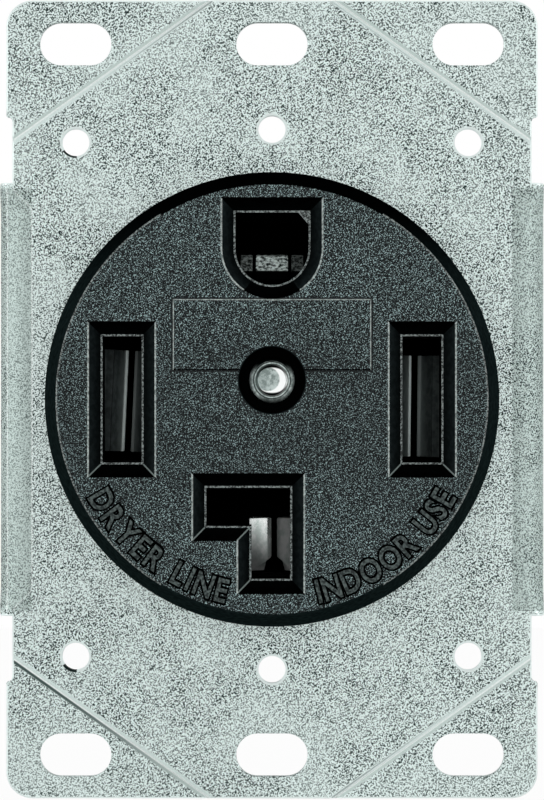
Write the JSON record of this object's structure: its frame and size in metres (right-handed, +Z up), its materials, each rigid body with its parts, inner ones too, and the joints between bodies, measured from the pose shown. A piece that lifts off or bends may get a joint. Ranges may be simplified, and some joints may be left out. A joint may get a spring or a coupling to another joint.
{
  "type": "four-slot dryer outlet",
  "caption": "Flush-mount dryer outlet: round black face with blade slots and an earth hole on a zinc-coated steel strap, leaf contacts and wire clamps in a moulded rear body.",
  "frame": {"origin": "middle of the strap's rear face, at the centre of the box screw pattern", "axes": "+Z up, +X to the right seen from the front, +Y into the wall, so the face looks along -Y"},
  "size_m": [0.064, 0.0349, 0.0936],
  "materials": {
    "zinc_steel": "speckled zinc coat, satin",
    "cover_plastic": "fine moulded grain",
    "body_plastic": "fine moulded grain",
    "contact_brass": "nickel-plated brass, satin",
    "rivet_steel": "bright zinc",
    "clamp_steel": "zinc, satin",
    "screw_brass": "satin brass",
    "screw_nickel": "nickel plate",
    "screw_green": "green dyed zinc"
  },
  "bodies": {
    "root": {"mounting_strap": "zinc_steel", "face_cover": "cover_plastic", "rear_body": "body_plastic", "centre_rivet": "rivet_steel", "rivet_washer": "rivet_steel", "ground_bond": "contact_brass", "ground_bond_rivet": "contact_brass", "line_1_contact": "contact_brass", "line_1_clamp": "clamp_steel", "line_1_screw": "screw_brass", "line_2_contact": "contact_brass", "line_2_clamp": "clamp_steel", "line_2_screw": "screw_brass", "neutral_contact": "contact_brass", "neutral_clamp": "clamp_steel", "neutral_screw": "screw_nickel", "ground_contact": "contact_brass", "ground_clamp": "clamp_steel", "ground_screw": "screw_green"}
  },
  "joints": []
}
